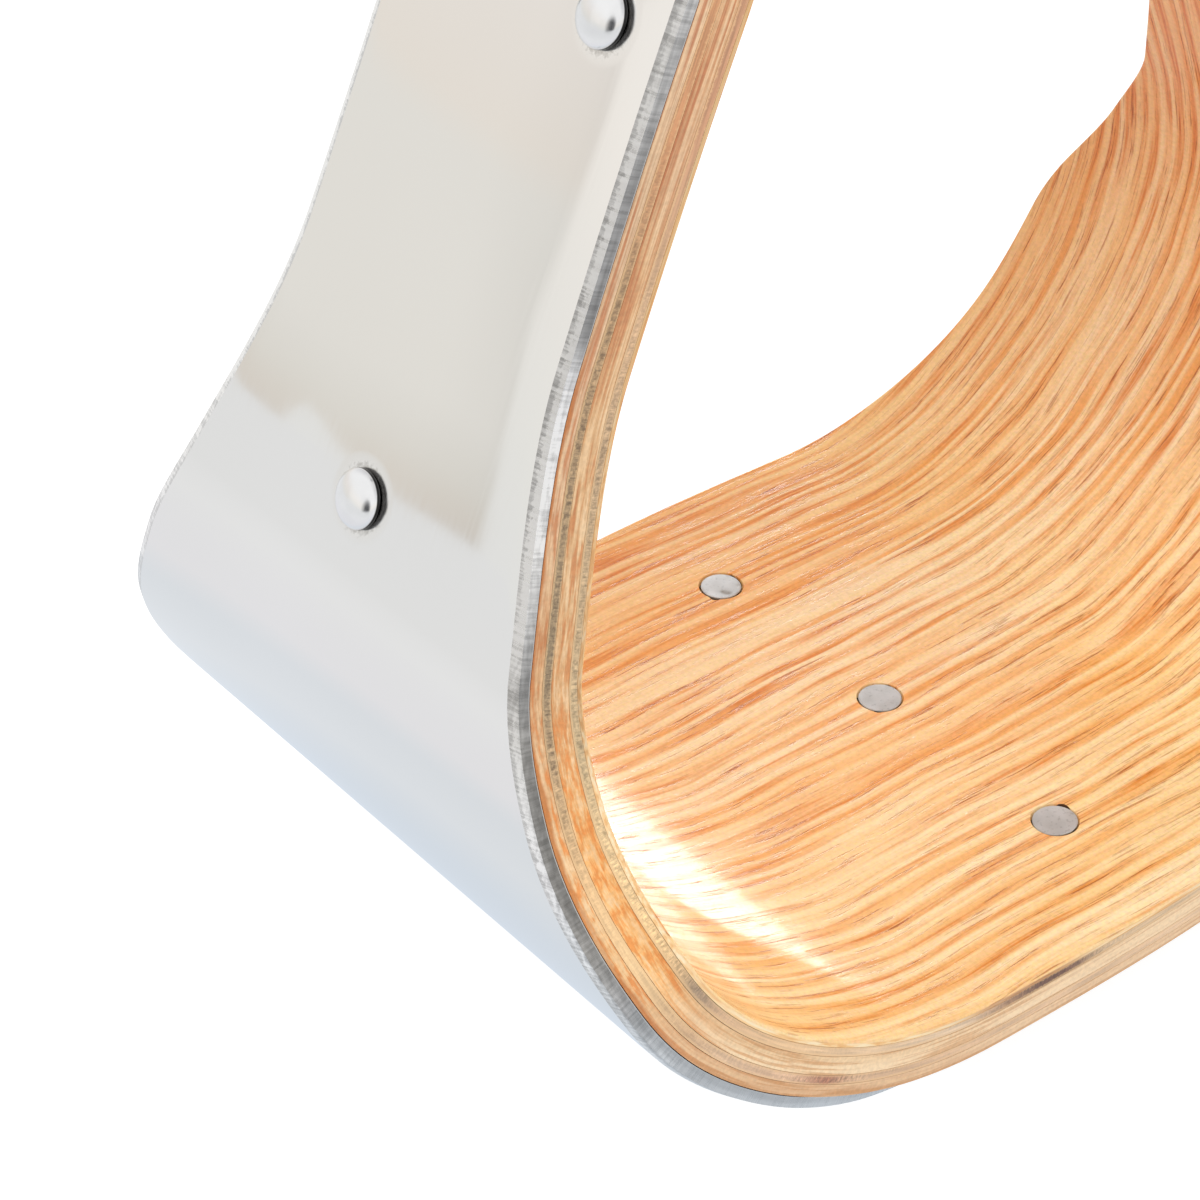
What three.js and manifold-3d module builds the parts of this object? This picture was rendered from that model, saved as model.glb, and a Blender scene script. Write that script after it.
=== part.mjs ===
// Western stirrup: a bow of bent laminated oak bound with polished steel sheet.
// Millimetres, +Z up. X runs along the tread from leg to leg, Y from the front to the back.
// The origin is under the middle of the tread, level with the lowest rivet heads.

import * as THREE from 'three';
import { mergeVertices } from 'three/addons/utils/BufferGeometryUtils.js';
import Module from 'manifold-3d';

const wasm = await Module();
wasm.setup();

// Side outline of the bow, measured along the outer face of the steel; angles are in degrees
const TREAD_FLAT_HALF = 20.3;
const CORNER_RADIUS = 44.1;
const CORNER_ANGLE = 72;
const SHOULDER_RADIUS = 31.3;
const SHOULDER_ANGLE = 41.9;
const LEG_STRAIGHT = 50.2;
const UPRIGHT_ANGLE = 90;
const NECK_BEND_RADIUS = 50;
const NECK_STRAIGHT = 38;
const END_CORNER_RADIUS = 9;

// Width of the strip from the front edge to the back edge. The shares say how far along the
// corner bend, the shoulder bend and the straight leg each width stands.
const TREAD_DEPTH = 76.2;
const TREAD_SIDE_WIDTH = 73.9;
const TREAD_SIDE_SHARE = 0.19;
const CORNER_WIDTH = 70.3;
const CORNER_SHARE = 0.62;
const TAPER_TOP_WIDTH = 68.7;
const TAPER_TOP_SHARE = 0.89;
const SHOULDER_WIDTH = 54.1;
const SHOULDER_SHARE = 0.5;
const LEG_FOOT_WIDTH = 43.9;
const LEG_WAIST_WIDTH = 33;
const LEG_WAIST_SHARE = 0.45;
const LEG_WIDTH = 31.8;

// Steel binding: the polishing wheel rolled the face over beside a ground chamfer
const STEEL_THICKNESS = 1.5;
const STEEL_ROLL_WIDTH = 1.3;
const STEEL_ROLL_DROP = 0.07;
const STEEL_CHAMFER_WIDTH = 0.9;
const STEEL_CHAMFER_DROP = 0.35;
const STEEL_SETBACK = 2.4;
const SETBACK_FLAT = 13;
const SETBACK_FADE = 35;
const STEEL_TO_WOOD_GAP = 0.08;

// The five veneers of the bow, from the steel inwards
const OUTER_PLY = 1.2;
const OUTER_CROSS_PLY = 0.9;
const CORE_PLY = 1.8;
const INNER_CROSS_PLY = 0.85;
const FACE_VENEER = 0.6;
const GLUE_LINE = 0.04;
const FACE_EDGE_ROUND = 0.45;

// Rivets: domed head outside on the steel, tail hammered flush with the oak. An inset is from
// a rivet's axis to the edge of the oak, a margin from its head to the end of the straight leg.
const RIVET_SHANK_DIAMETER = 3.2;
const RIVET_HEAD_DIAMETER = 5;
const RIVET_HEAD_RIM = 0.35;
const RIVET_HEAD_HEIGHT = 1.45;
const RIVET_TAIL_DIAMETER = 4.4;
const RIVET_TAIL_DEPTH = 1.1;
const RIVET_HOLE_CLEARANCE = 0.12;
const RIVET_HEAD_SEAT = 0.05;
const TREAD_RIVET_INSET = 14.4;
const LEG_RIVET_MARGIN = 1.8;
const NECK_RIVET_MARGIN = 0.1;
const NECK_RIVET_INSET = 7;

// Bolt, nut, washers and roller in the neck
const BOLT_DIAMETER = 9.5;
const BOLT_UP_NECK = 22;
const BOLT_HOLE_CLEARANCE = 0.25;
const BOLT_THREAD_SHOWING = 3;
const BOLT_END_CHAMFER = 1;
const HEX_ACROSS_FLATS = 14.3;
const HEX_CORNER_CHAMFER = 0.9;
const BOLT_HEAD_HEIGHT = 6;
const NUT_HEIGHT = 8.2;
const NUT_THREAD_CLEARANCE = 0.1;
const WASHER_DIAMETER = 20.5;
const WASHER_THICKNESS = 1.6;
const THRUST_WASHER_DIAMETER = 17;
const THRUST_WASHER_THICKNESS = 1.2;
const WASHER_HOLE_CLEARANCE = 0.3;
const WASHER_CHAMFER = 0.2;
const ROLLER_DIAMETER = 19;
const ROLLER_BORE_CLEARANCE = 0.3;
const ROLLER_END_CHAMFER = 0.8;
const SEAT_GAP = 0.1;
const ROLLER_SIDE_GAP = 0.3;

// Facets, and how far a cutter runs past what it cuts
const BEND_STEP_ANGLE = 7.2;
const END_CORNER_STEPS = 4;
const DOME_STEPS = 4;
const RIVET_SIDES = 12;
const ROUND_SIDES = 24;
const CUT_PAST = 1;

const radians = THREE.MathUtils.degToRad;

const plies = [
  { name: 'outer_oak_ply', thickness: OUTER_PLY, colour: 0xd9a877 },
  { name: 'outer_cross_ply', thickness: OUTER_CROSS_PLY, colour: 0x9d8a70 },
  { name: 'core_ply', thickness: CORE_PLY, colour: 0xe0ab77 },
  { name: 'inner_cross_ply', thickness: INNER_CROSS_PLY, colour: 0xab9a7c },
  { name: 'oak_face_veneer', thickness: FACE_VENEER, colour: 0xeab07a },
];
const woodStart = STEEL_THICKNESS + STEEL_TO_WOOD_GAP;
const pliesThickness = plies.reduce((sum, ply) => sum + ply.thickness, 0);
const stackThickness = woodStart + pliesThickness + GLUE_LINE * (plies.length - 1);

// Straight runs and bends of one half of the bow, from the middle of the tread to the leg's end
function run(length, steps) {
  return { length, curvature: 0, steps };
}

function bend(radius, turn) {
  const length = radius * radians(Math.abs(turn));
  const steps = Math.ceil(Math.abs(turn) / BEND_STEP_ANGLE);
  return { length, curvature: Math.sign(turn) / radius, steps };
}

const legLean = CORNER_ANGLE + SHOULDER_ANGLE - UPRIGHT_ANGLE;
const flat = run(TREAD_FLAT_HALF, 2);
const corner = bend(CORNER_RADIUS, CORNER_ANGLE);
const shoulder = bend(SHOULDER_RADIUS, SHOULDER_ANGLE);
const leg = run(LEG_STRAIGHT, 6);
const neckBend = bend(NECK_BEND_RADIUS, -legLean);
const neck = run(NECK_STRAIGHT - END_CORNER_RADIUS, 1);
const path = [flat, corner, shoulder, leg, neckBend, neck];

const cornerStart = flat.length;
const shoulderStart = cornerStart + corner.length;
const legStart = shoulderStart + shoulder.length;
const legEnd = legStart + leg.length;
const neckStart = legEnd + neckBend.length;
const bowHalfLength = neckStart + NECK_STRAIGHT;

// Where the outer face is at a developed length, and which way it heads. The last run goes on
// to the rounded end.
function outerFace(at) {
  const place = { x: 0, z: 0, heading: 0 };
  let left = at;
  for (const piece of path) {
    const step = piece === neck ? left : Math.min(left, piece.length);
    const turned = place.heading + step * piece.curvature;
    if (piece.curvature === 0) {
      place.x += step * Math.cos(place.heading);
      place.z += step * Math.sin(place.heading);
    } else {
      place.x += (Math.sin(turned) - Math.sin(place.heading)) / piece.curvature;
      place.z += (Math.cos(place.heading) - Math.cos(turned)) / piece.curvature;
    }
    place.heading = turned;
    left -= step;
  }
  return place;
}

// A point of the strip by its developed length, its depth in from the outer face, and its y.
// Lengths on the left half are negative, and that half mirrors the right one.
function bowPoint(at, depth, y) {
  const side = at < 0 ? -1 : 1;
  const { x, z, heading } = outerFace(Math.abs(at));
  const pointX = side * (x - depth * Math.sin(heading));
  const pointZ = z + depth * Math.cos(heading);
  return new THREE.Vector3(pointX, y, RIVET_HEAD_HEIGHT + pointZ);
}

function inwardNormal(at) {
  return bowPoint(at, 1, 0).sub(bowPoint(at, 0, 0)).normalize();
}

// Width of the strip by developed length: a smooth curve that never overshoots its points
const widths = [
  [0, TREAD_DEPTH],
  [cornerStart + TREAD_SIDE_SHARE * corner.length, TREAD_SIDE_WIDTH],
  [cornerStart + CORNER_SHARE * corner.length, CORNER_WIDTH],
  [cornerStart + TAPER_TOP_SHARE * corner.length, TAPER_TOP_WIDTH],
  [shoulderStart + SHOULDER_SHARE * shoulder.length, SHOULDER_WIDTH],
  [legStart, LEG_FOOT_WIDTH],
  [legStart + LEG_WAIST_SHARE * leg.length, LEG_WAIST_WIDTH],
  [legEnd, LEG_WIDTH],
  [bowHalfLength, LEG_WIDTH],
];

function widthSlope(i) {
  if (i === 0 || i === widths.length - 1) return 0;
  const before = (widths[i][1] - widths[i - 1][1]) / (widths[i][0] - widths[i - 1][0]);
  const after = (widths[i + 1][1] - widths[i][1]) / (widths[i + 1][0] - widths[i][0]);
  return before * after <= 0 ? 0 : (2 * before * after) / (before + after);
}

function stripWidth(at) {
  const along = Math.min(Math.abs(at), bowHalfLength);
  const i = Math.max(0, widths.findIndex(([place]) => place >= along) - 1);
  const [place, width] = widths[i];
  const [nextPlace, nextWidth] = widths[i + 1];
  const span = nextPlace - place;
  const t = (along - place) / span;
  const blend = t * t * (3 - 2 * t);
  const leaving = t * (1 - t) ** 2 * span * widthSlope(i);
  const arriving = t * t * (t - 1) * span * widthSlope(i + 1);
  return width + (nextWidth - width) * blend + leaving + arriving;
}

// The ends of the strip have rounded corners
function halfWidth(at) {
  const past = Math.max(0, Math.abs(at) - (bowHalfLength - END_CORNER_RADIUS));
  const left = Math.sqrt(Math.max(0, END_CORNER_RADIUS ** 2 - past ** 2));
  return stripWidth(at) / 2 - (END_CORNER_RADIUS - left);
}

// The sheet stands a little behind the edge of the oak under the tread, and flush on the legs
function steelHalfWidth(at) {
  const fade = THREE.MathUtils.smoothstep(Math.abs(at), SETBACK_FLAT, SETBACK_FLAT + SETBACK_FADE);
  return halfWidth(at) - STEEL_SETBACK * (1 - fade);
}

// Developed lengths of the cross-sections, from the end of the left leg to that of the right
function halfStations() {
  const places = [];
  let start = 0;
  for (const piece of path) {
    for (let i = 0; i < piece.steps; i += 1) places.push(start + (piece.length * i) / piece.steps);
    start += piece.length;
  }
  for (let i = 0; i <= END_CORNER_STEPS; i += 1) {
    places.push(start + END_CORNER_RADIUS * Math.sin(radians((90 * i) / END_CORNER_STEPS)));
  }
  return places;
}

const rightStations = halfStations();
const leftStations = rightStations.slice(1).map((at) => -at).reverse();
const stations = [...leftStations, ...rightStations];

// A solid strip through one convex section of [y, depth] points at each station
function strip(section) {
  const rings = stations.map((at) => section(at).map(([y, depth]) => bowPoint(at, depth, y)));
  const count = rings[0].length;
  const index = [];
  for (let i = 0; i < rings.length - 1; i += 1) {
    for (let j = 0; j < count; j += 1) {
      const a = i * count + j;
      const b = i * count + ((j + 1) % count);
      index.push(a, b, a + count, b, b + count, a + count);
    }
  }
  const last = (rings.length - 1) * count;
  for (let j = 1; j < count - 1; j += 1) {
    index.push(0, j + 1, j);
    index.push(last, last + j, last + j + 1);
  }
  const geometry = new THREE.BufferGeometry();
  geometry.setFromPoints(rings.flat());
  geometry.setIndex(index);
  return geometry;
}

// Joining and cutting of closed meshes
function solid(geometry) {
  const bare = geometry.clone();
  bare.deleteAttribute('normal');
  bare.deleteAttribute('uv');
  const merged = mergeVertices(bare, 1e-4);
  const vertProperties = new Float32Array(merged.attributes.position.array);
  const triVerts = new Uint32Array(merged.index.array);
  return new wasm.Manifold(new wasm.Mesh({ numProp: 3, vertProperties, triVerts }));
}

function geometryOf(body) {
  const { vertProperties, triVerts } = body.getMesh();
  const geometry = new THREE.BufferGeometry();
  geometry.setAttribute('position', new THREE.BufferAttribute(vertProperties, 3));
  geometry.setIndex(new THREE.BufferAttribute(triVerts, 1));
  geometry.computeVertexNormals();
  return geometry;
}

// Turned solids: points are [radius, height]. A lathe stands on the y axis and a turning
// lies along the x axis, which is the bolt's direction.
function lathe(points, sides) {
  return new THREE.LatheGeometry(points.map(([radius, height]) => new THREE.Vector2(radius, height)), sides);
}

function turning(points) {
  return lathe(points, ROUND_SIDES).rotateZ(-Math.PI / 2);
}

function mesh(name, geometry, finish) {
  const piece = new THREE.Mesh(geometry, new THREE.MeshStandardMaterial(finish));
  piece.name = name;
  return piece;
}

// A rivet's axis is the strip's inward normal, and its zero is on the outer face
function placeAcrossStrip(object, at, y) {
  object.position.copy(bowPoint(at, 0, y));
  object.quaternion.setFromUnitVectors(new THREE.Vector3(0, 1, 0), inwardNormal(at));
  object.updateMatrix();
  return object;
}

const headRadius = RIVET_HEAD_DIAMETER / 2;
const shankRadius = RIVET_SHANK_DIAMETER / 2;
const tailRadius = RIVET_TAIL_DIAMETER / 2;
const tailStart = stackThickness - RIVET_TAIL_DEPTH;
const legRivetAt = legStart + LEG_RIVET_MARGIN + headRadius;
const neckRivetAt = legEnd - NECK_RIVET_MARGIN - headRadius;

// Three rivets across the tread, one low on each leg and a pair at the top of each leg
const rivets = [];
for (const [row, sign] of [['front', -1], ['middle', 0], ['back', 1]]) {
  const y = sign * (TREAD_DEPTH / 2 - TREAD_RIVET_INSET);
  rivets.push({ name: `tread_rivet_${row}`, at: 0, y });
}
for (const [side, sideSign] of [['left', -1], ['right', 1]]) {
  rivets.push({ name: `leg_rivet_${side}`, at: sideSign * legRivetAt, y: 0 });
  for (const [row, sign] of [['front', -1], ['back', 1]]) {
    const y = sign * (stripWidth(neckRivetAt) / 2 - NECK_RIVET_INSET);
    rivets.push({ name: `neck_rivet_${side}_${row}`, at: sideSign * neckRivetAt, y });
  }
}

function rivetGeometry() {
  const domeFoot = -RIVET_HEAD_SEAT - RIVET_HEAD_RIM;
  const domeHeight = RIVET_HEAD_HEIGHT + domeFoot;
  const points = [[0, domeFoot - domeHeight]];
  for (let i = 1; i <= DOME_STEPS; i += 1) {
    const angle = radians((90 * i) / DOME_STEPS);
    points.push([headRadius * Math.sin(angle), domeFoot - domeHeight * Math.cos(angle)]);
  }
  points.push([headRadius, -RIVET_HEAD_SEAT]);
  points.push([shankRadius, -RIVET_HEAD_SEAT]);
  points.push([shankRadius, tailStart]);
  points.push([tailRadius, stackThickness]);
  points.push([0, stackThickness]);
  return lathe(points, RIVET_SIDES);
}

function rivetHoleGeometry() {
  const holeRadius = shankRadius + RIVET_HOLE_CLEARANCE;
  const mouthRadius = tailRadius + RIVET_HOLE_CLEARANCE;
  return lathe([
    [0, -CUT_PAST],
    [holeRadius, -CUT_PAST],
    [holeRadius, tailStart],
    [mouthRadius, stackThickness],
    [mouthRadius, stackThickness + CUT_PAST],
    [0, stackThickness + CUT_PAST],
  ], RIVET_SIDES);
}

const boltRadius = BOLT_DIAMETER / 2;
const boltPlace = bowPoint(neckStart + BOLT_UP_NECK, 0, 0);
const neckOutside = boltPlace.x;
const neckInside = neckOutside - stackThickness;

function boltHoleGeometry() {
  const radius = boltRadius + BOLT_HOLE_CLEARANCE;
  const reach = neckOutside + CUT_PAST;
  const geometry = turning([[0, -reach], [radius, -reach], [radius, reach], [0, reach]]);
  return geometry.translate(0, 0, boltPlace.z);
}

// Every hole runs through the whole stack, so one set of cutters drills the steel and all plies
const cutters = rivets.map(({ at, y }) => {
  const { matrix } = placeAcrossStrip(new THREE.Object3D(), at, y);
  return solid(rivetHoleGeometry().applyMatrix4(matrix));
});
cutters.push(solid(boltHoleGeometry()));

function drilled(geometry) {
  return geometryOf(cutters.reduce((body, cutter) => body.subtract(cutter), solid(geometry)));
}

// Sections of the strips. The half with positive y is drawn and mirrored.
function mirroredSection(points) {
  return [...points, ...points.map(([y, depth]) => [-y, depth]).reverse()];
}

function steelSection(at) {
  const edge = steelHalfWidth(at);
  const chamferStart = edge - STEEL_CHAMFER_WIDTH;
  return mirroredSection([
    [chamferStart - STEEL_ROLL_WIDTH, 0],
    [chamferStart, STEEL_ROLL_DROP],
    [edge, STEEL_ROLL_DROP + STEEL_CHAMFER_DROP],
    [edge, STEEL_THICKNESS],
  ]);
}

function plySection(at, from, to) {
  const edge = halfWidth(at);
  return mirroredSection([[edge, from], [edge, to]]);
}

// The face veneer's edges are sanded round on the side where the boot goes
function faceVeneerSection(at, from, to) {
  const edge = halfWidth(at);
  const half = FACE_EDGE_ROUND * (1 - Math.SQRT1_2);
  return mirroredSection([
    [edge, from],
    [edge, to - FACE_EDGE_ROUND],
    [edge - half, to - half],
    [edge - FACE_EDGE_ROUND, to],
  ]);
}

const polishedSteel = { color: 0xdedbd6, metalness: 1, roughness: 0.1 };
const zincPlated = { color: 0xb9bcc0, metalness: 1, roughness: 0.35 };

const stirrup = new THREE.Group();
stirrup.name = 'western_stirrup';

stirrup.add(mesh('steel_binding', drilled(strip(steelSection)), polishedSteel));

let plyStart = woodStart;
for (const { name, thickness, colour } of plies) {
  const from = plyStart;
  const to = plyStart + thickness;
  const sectionOf = name === 'oak_face_veneer' ? faceVeneerSection : plySection;
  const finish = { color: colour, metalness: 0, roughness: 0.45 };
  stirrup.add(mesh(name, drilled(strip((at) => sectionOf(at, from, to))), finish));
  plyStart = to + GLUE_LINE;
}

for (const { name, at, y } of rivets) {
  stirrup.add(placeAcrossStrip(mesh(name, rivetGeometry(), polishedSteel), at, y));
}

// A hexagon along X from x = 0, its corners chamfered at its far face and, on the nut, at both
function hexagon(height, bothFaces) {
  const flatRadius = HEX_ACROSS_FLATS / 2;
  const cornerRadius = flatRadius / Math.cos(radians(30));
  const prism = new THREE.CylinderGeometry(cornerRadius, cornerRadius, height, 6);
  prism.translate(0, height / 2, 0).rotateZ(-Math.PI / 2);
  const wideRadius = cornerRadius + CUT_PAST;
  const chamferSlope = HEX_CORNER_CHAMFER / (cornerRadius - flatRadius);
  const rise = chamferSlope * (wideRadius - flatRadius);
  const points = bothFaces ? [[0, 0], [flatRadius, 0], [wideRadius, rise]] : [[0, 0], [wideRadius, 0]];
  points.push([wideRadius, height - rise], [flatRadius, height], [0, height]);
  return solid(prism).intersect(solid(turning(points)));
}

// A ring along X from x = 0, with its outer corners chamfered
function ring(outerRadius, boreRadius, length, chamfer) {
  return turning([
    [boreRadius, 0],
    [outerRadius - chamfer, 0],
    [outerRadius, chamfer],
    [outerRadius, length - chamfer],
    [outerRadius - chamfer, length],
    [boreRadius, length],
    [boreRadius, 0],
  ]);
}

// The bolt's head is on the left leg, and its thread comes out through the nut on the right.
// The washers lie between them and the steel, and thrust washers keep the roller off the oak.
const washerOuterFace = neckOutside + SEAT_GAP + WASHER_THICKNESS;
const boltHeadFace = washerOuterFace + SEAT_GAP;
const boltTip = boltHeadFace + NUT_HEIGHT + BOLT_THREAD_SHOWING;
const thrustWasherInnerFace = neckInside - SEAT_GAP - THRUST_WASHER_THICKNESS;
const rollerHalf = thrustWasherInnerFace - ROLLER_SIDE_GAP;
const washerHoleRadius = boltRadius + WASHER_HOLE_CLEARANCE;

function boltGeometry() {
  const turnRound = [0, 0, 180];
  const head = hexagon(BOLT_HEAD_HEIGHT, false).rotate(turnRound).translate([-boltHeadFace, 0, 0]);
  const shank = turning([
    [0, -boltHeadFace - CUT_PAST],
    [boltRadius, -boltHeadFace - CUT_PAST],
    [boltRadius, boltTip - BOLT_END_CHAMFER],
    [boltRadius - BOLT_END_CHAMFER, boltTip],
    [0, boltTip],
  ]);
  return geometryOf(head.add(solid(shank)));
}

function nutGeometry() {
  const radius = boltRadius + NUT_THREAD_CLEARANCE;
  const reach = NUT_HEIGHT + CUT_PAST;
  const bore = turning([[0, -CUT_PAST], [radius, -CUT_PAST], [radius, reach], [0, reach]]);
  return geometryOf(hexagon(NUT_HEIGHT, true).subtract(solid(bore)));
}

function addOnBolt(name, geometry, x) {
  const piece = mesh(name, geometry, zincPlated);
  piece.position.set(x, 0, boltPlace.z);
  stirrup.add(piece);
}

addOnBolt('stirrup_bolt', boltGeometry(), 0);
addOnBolt('bolt_nut', nutGeometry(), boltHeadFace);

const washer = ring(WASHER_DIAMETER / 2, washerHoleRadius, WASHER_THICKNESS, WASHER_CHAMFER);
addOnBolt('bolt_washer_left', washer, -washerOuterFace);
addOnBolt('bolt_washer_right', washer, neckOutside + SEAT_GAP);

const thrustWasherRadius = THRUST_WASHER_DIAMETER / 2;
const thrustWasher = ring(thrustWasherRadius, washerHoleRadius, THRUST_WASHER_THICKNESS, WASHER_CHAMFER);
addOnBolt('thrust_washer_left', thrustWasher, -neckInside + SEAT_GAP);
addOnBolt('thrust_washer_right', thrustWasher, thrustWasherInnerFace);

const rollerBore = boltRadius + ROLLER_BORE_CLEARANCE;
const roller = ring(ROLLER_DIAMETER / 2, rollerBore, 2 * rollerHalf, ROLLER_END_CHAMFER);
addOnBolt('leather_roller', roller, -rollerHalf);

export default stirrup;
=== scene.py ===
import math

import bmesh
import bpy
import numpy as np
from mathutils import Euler, Matrix, Vector


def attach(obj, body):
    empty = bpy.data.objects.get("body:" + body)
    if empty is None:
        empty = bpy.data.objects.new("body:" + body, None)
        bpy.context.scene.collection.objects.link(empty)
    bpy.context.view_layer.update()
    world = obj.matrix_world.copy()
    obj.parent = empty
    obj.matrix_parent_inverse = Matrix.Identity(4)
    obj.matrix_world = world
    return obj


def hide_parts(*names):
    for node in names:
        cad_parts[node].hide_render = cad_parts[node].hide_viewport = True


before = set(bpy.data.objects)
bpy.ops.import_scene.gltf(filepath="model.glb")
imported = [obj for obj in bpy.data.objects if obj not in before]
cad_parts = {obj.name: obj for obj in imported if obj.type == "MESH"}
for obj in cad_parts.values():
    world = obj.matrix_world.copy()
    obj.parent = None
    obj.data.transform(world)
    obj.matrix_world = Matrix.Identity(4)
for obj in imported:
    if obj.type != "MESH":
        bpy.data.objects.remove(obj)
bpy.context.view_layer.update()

MM = 0.001


# The camera stands in front of the left leg and looks down into the tread, as a close product
# photograph of the lower left half of the stirrup is taken. The picture is square.
CAMERA_PLACE = (-173.80, -170.89, 200.46)
LOOKS_DOWN, TURNED_RIGHT, ROLLED = 36.623, 39.052, -0.131
camera_data = bpy.data.cameras.new("camera")
camera_data.lens = 94.95
camera_data.sensor_width = 36
camera_data.clip_start = 0.01
camera = bpy.data.objects.new("camera", camera_data)
looking = Euler((math.radians(90 - LOOKS_DOWN), 0, math.radians(-TURNED_RIGHT))).to_matrix()
rolled = Matrix.Rotation(math.radians(ROLLED), 3, "Z")
camera.matrix_world = Matrix.LocRotScale(Vector(CAMERA_PLACE) * MM, looking @ rolled, None)
bpy.context.scene.collection.objects.link(camera)
bpy.context.scene.camera = camera
bpy.context.scene.view_settings.view_transform = "Standard"


# The table is plain and pale: white to the camera with a faint shadow, and in the polished
# steel a light grey that gets cooler and darker close to the object, which is painted shade.
# Its far edge is 1.7 m away.
def node(tree, kind, feeds=None, **settings):
    added = tree.nodes.new(kind)
    for setting, value in settings.items():
        setattr(added, setting, value)
    for name, value in (feeds or {}).items():
        if isinstance(value, bpy.types.NodeSocket):
            tree.links.new(value, added.inputs[name])
        else:
            added.inputs[name].default_value = value
    return added


def ramp(tree, factor, stops):
    added = node(tree, "ShaderNodeValToRGB", {"Fac": factor})
    while len(added.color_ramp.elements) < len(stops):
        added.color_ramp.elements.new(0.5)
    for element, (place, value) in zip(added.color_ramp.elements, stops):
        element.position = place
        element.color = (*value, 1) if isinstance(value, tuple) else (value, value, value, 1)
    return added.outputs["Color"]


def math_of(tree, operation, first, second=0.0):
    return node(tree, "ShaderNodeMath", {0: first, 1: second}, operation=operation).outputs[0]


def within(tree, value, start, end, low=0.0, high=1.0):
    feeds = {0: value, 1: start, 2: end, 3: low, 4: high}
    return node(tree, "ShaderNodeMapRange", feeds).outputs[0]


def vector_of(tree, operation, *feeds):
    return node(tree, "ShaderNodeVectorMath", dict(enumerate(feeds)), operation=operation).outputs


def mixed(tree, share, first, second, blend="MIX"):
    values = {0: share, 6: first, 7: second}
    values = {k: (*v, 1) if isinstance(v, tuple) else v for k, v in values.items()}
    return node(tree, "ShaderNodeMix", values, data_type="RGBA", blend_type=blend).outputs[2]


def multiplied(tree, first, second, share=1.0):
    return mixed(tree, share, first, second, "MULTIPLY")


def by_ray(tree, lit, mirrored, seen):
    rays = node(tree, "ShaderNodeLightPath").outputs
    plain = node(tree, "ShaderNodeMixShader", {
        0: rays["Is Glossy Ray"], 1: lit.outputs[0], 2: mirrored.outputs[0]})
    return node(tree, "ShaderNodeMixShader", {
        0: rays["Is Camera Ray"], 1: plain.outputs[0], 2: seen.outputs[0]}).outputs[0]


def material_tree(name):
    material = bpy.data.materials.new(name)
    material.use_nodes = True
    material.node_tree.nodes.clear()
    return material, material.node_tree


def pale_table():
    material, tree = material_tree("pale_table")
    place = node(tree, "ShaderNodeTexCoord").outputs["Object"]
    far = vector_of(tree, "LENGTH", place)["Value"]
    # Painted shade: the floor in the steel's mirror is darker and bluer near the object, as its
    # shadow
    grey = ramp(tree, within(tree, far, 0.04, 0.4), [
        (0.0, (0.68, 0.75, 0.84)), (0.06, (0.72, 0.785, 0.865)), (0.11, (0.80, 0.84, 0.89)),
        (0.17, (0.79, 0.83, 0.88)), (0.22, (0.86, 0.865, 0.90)), (0.5, (0.885, 0.895, 0.91)),
        (1.0, (0.85, 0.86, 0.87))])
    lit = node(tree, "ShaderNodeBsdfDiffuse", {"Color": (0.8, 0.8, 0.8, 1)})
    soft = node(tree, "ShaderNodeBsdfDiffuse", {"Color": (0.34, 0.34, 0.34, 1)})
    white = node(tree, "ShaderNodeEmission", {"Color": (1, 1, 1, 1), "Strength": 0.82})
    seen = node(tree, "ShaderNodeAddShader", {0: soft.outputs[0], 1: white.outputs[0]})
    mirrored = node(tree, "ShaderNodeEmission", {"Color": grey})
    node(tree, "ShaderNodeOutputMaterial", {"Surface": by_ray(tree, lit, mirrored, seen)})
    return material


bpy.ops.object.select_all(action="DESELECT")
bpy.ops.mesh.primitive_circle_add(vertices=128, radius=1.7, fill_type="NGON")
table = bpy.context.object
table.name = "table"
table.data.materials.append(pale_table())


# The studio: white behind the object to the camera, with plain light from all round. The steel
# mirrors a white tent with a greyer ceiling on the right, a warm wall low behind the left leg
# and a dark doorway in front of it. A wide low lamp behind the right makes the varnish shine.
def direction(azimuth, elevation):
    a, e = math.radians(azimuth), math.radians(elevation)
    return Vector((math.sin(a) * math.cos(e), math.cos(a) * math.cos(e), math.sin(e)))


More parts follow.
